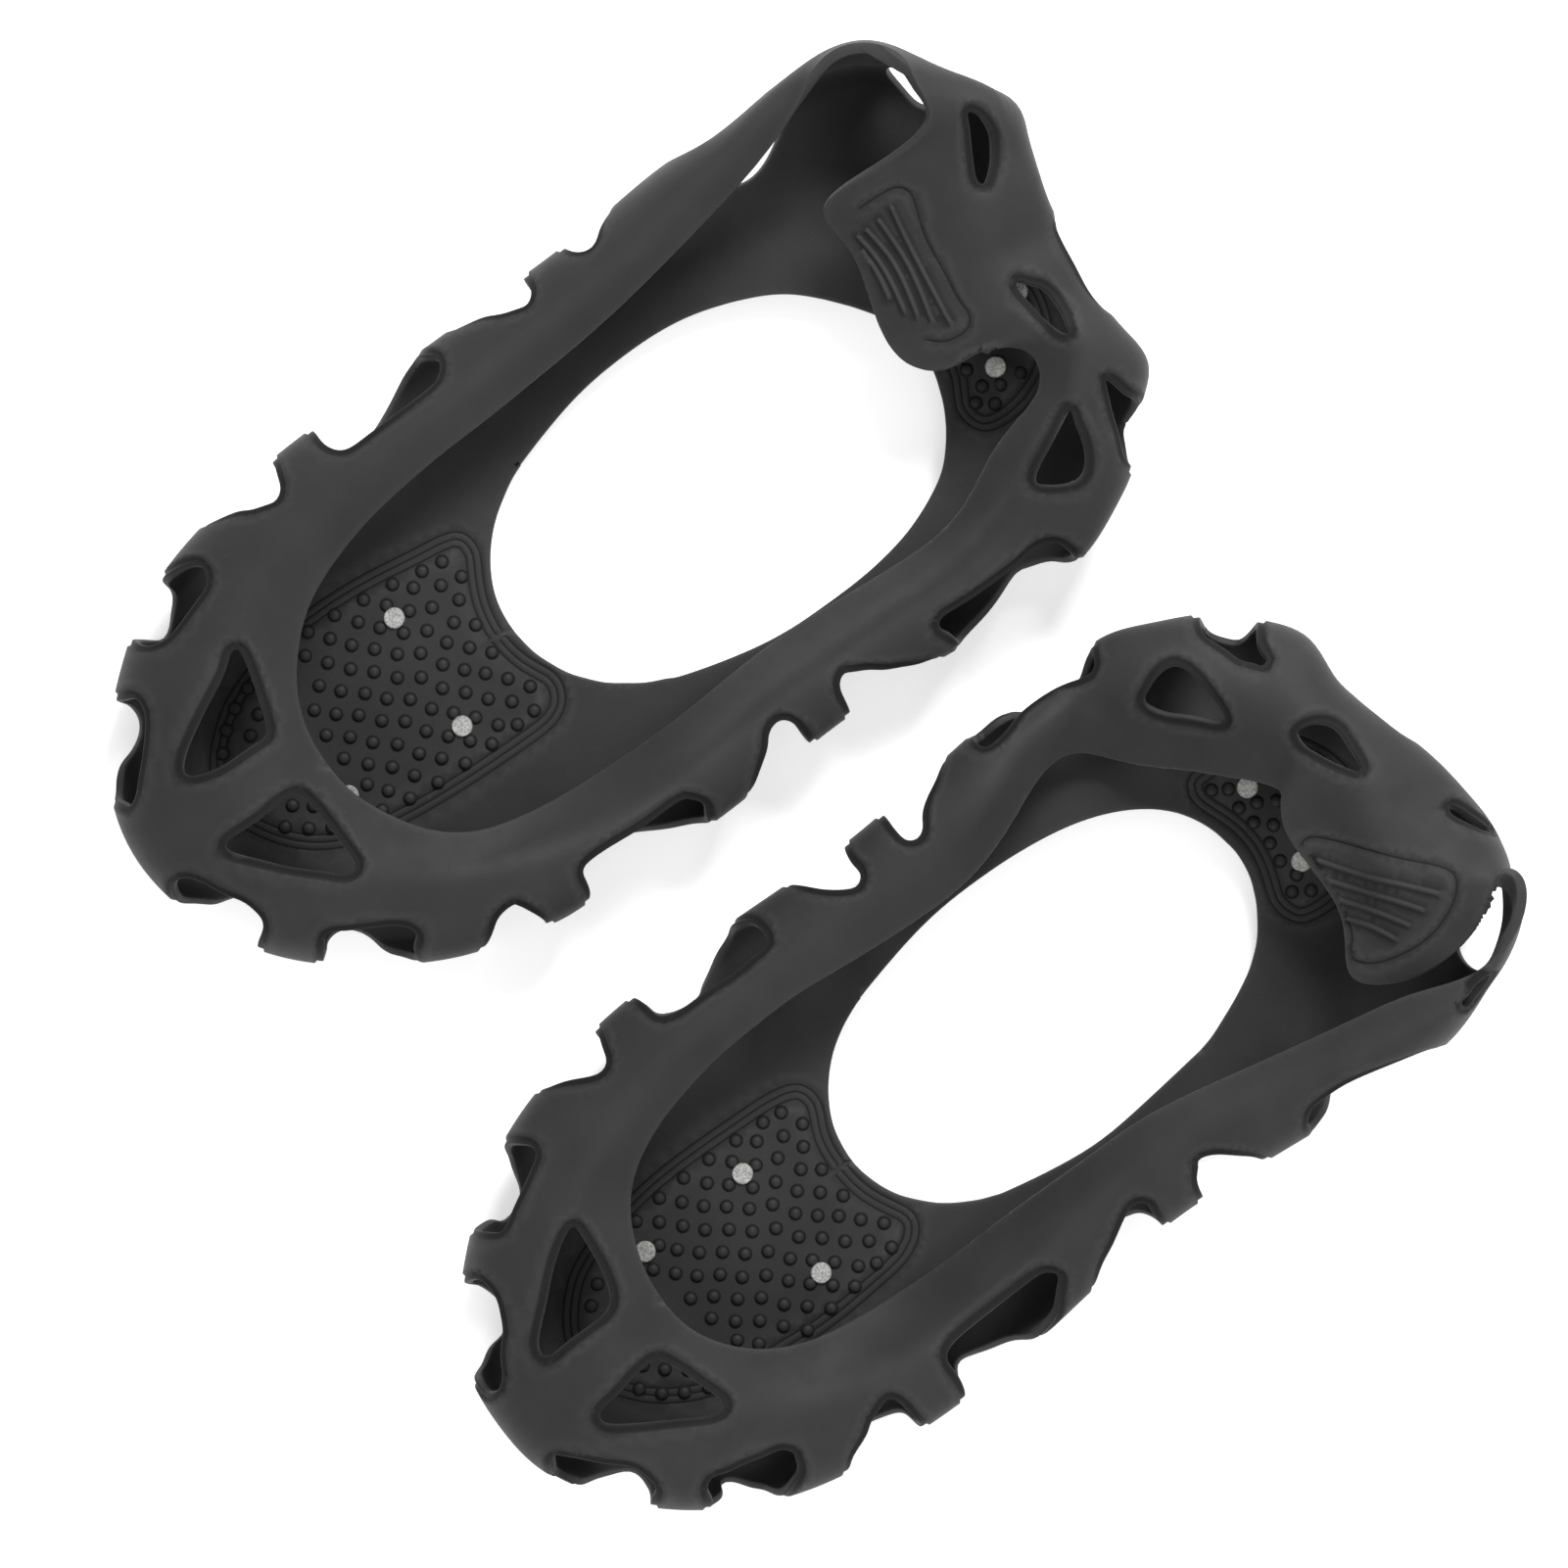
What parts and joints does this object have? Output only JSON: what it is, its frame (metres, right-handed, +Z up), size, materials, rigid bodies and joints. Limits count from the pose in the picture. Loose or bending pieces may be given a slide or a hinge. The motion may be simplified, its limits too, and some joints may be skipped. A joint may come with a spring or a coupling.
{
  "type": "shoe ice cleats",
  "caption": "Pair of slip-on rubber traction overshoes with steel ice studs, windowed toe caps, slotted side walls and heel walls folded forward with ribbed pull tabs.",
  "frame": {"origin": "middle of the pair's box, on the ground under the stud tips", "axes": "+Z up; +Y from toe to heel; +X from the wearer's right overshoe to the left one"},
  "size_m": [0.2517, 0.257, 0.044],
  "materials": {
    "rubber": "matte",
    "stud_steel": "satin"
  },
  "bodies": {
    "right_forefoot_body": {"right_forefoot": "rubber", "right_toe_ball_stud_outer": "stud_steel", "right_toe_ball_stud_inner": "stud_steel", "right_toe_mid_stud_outer": "stud_steel", "right_toe_mid_stud_inner": "stud_steel", "right_toe_tip_stud": "stud_steel"},
    "right_arch_body": {"right_outer_band": "rubber", "right_inner_band": "rubber"},
    "right_heel_body": {"right_heel_cup": "rubber", "right_heel_stud_inner": "stud_steel", "right_heel_stud_outer": "stud_steel", "right_heel_rear_stud": "stud_steel"},
    "right_back_body": {"right_back_wall": "rubber", "right_pull_tab": "rubber"},
    "left_forefoot_body": {"left_forefoot": "rubber", "left_toe_ball_stud_outer": "stud_steel", "left_toe_ball_stud_inner": "stud_steel", "left_toe_mid_stud_outer": "stud_steel", "left_toe_mid_stud_inner": "stud_steel", "left_toe_tip_stud": "stud_steel"},
    "left_arch_body": {"left_outer_band": "rubber", "left_inner_band": "rubber"},
    "left_heel_body": {"left_heel_cup": "rubber", "left_heel_stud_inner": "stud_steel", "left_heel_stud_outer": "stud_steel", "left_heel_rear_stud": "stud_steel"},
    "left_back_body": {"left_back_wall": "rubber", "left_pull_tab": "rubber"}
  },
  "joints": [
    {"name": "right_toe_flex", "type": "hinge", "parent": "right_forefoot_body", "child": "right_arch_body", "pos_m": [-0.064, -0.0015, 0.032], "axis": [1, 0, 0], "range_deg": [0, 25]},
    {"name": "right_arch_stretch", "type": "slide", "parent": "right_arch_body", "child": "right_heel_body", "axis": [0, 1, 0], "range_m": [0, 0.03]},
    {"name": "right_back_fold", "type": "hinge", "parent": "right_heel_body", "child": "right_back_body", "pos_m": [-0.062, 0.1187, 0.038], "axis": [0.9934, -0.115, 0], "range_deg": [-80, 0]},
    {"name": "left_toe_flex", "type": "hinge", "parent": "left_forefoot_body", "child": "left_arch_body", "pos_m": [0.07, -0.0105, 0.032], "axis": [1, 0, 0], "range_deg": [0, 25]},
    {"name": "left_arch_stretch", "type": "slide", "parent": "left_arch_body", "child": "left_heel_body", "axis": [0, 1, 0], "range_m": [0, 0.03]},
    {"name": "left_back_fold", "type": "hinge", "parent": "left_heel_body", "child": "left_back_body", "pos_m": [0.074, 0.1102, 0.038], "axis": [0.9916, 0.1297, 0], "range_deg": [-65, 0]},
    {"name": "left_lift", "type": "slide", "parent": "right_forefoot_body", "child": "left_forefoot_body", "axis": [0, 0, 1], "range_m": [0, 0.3]}
  ]
}
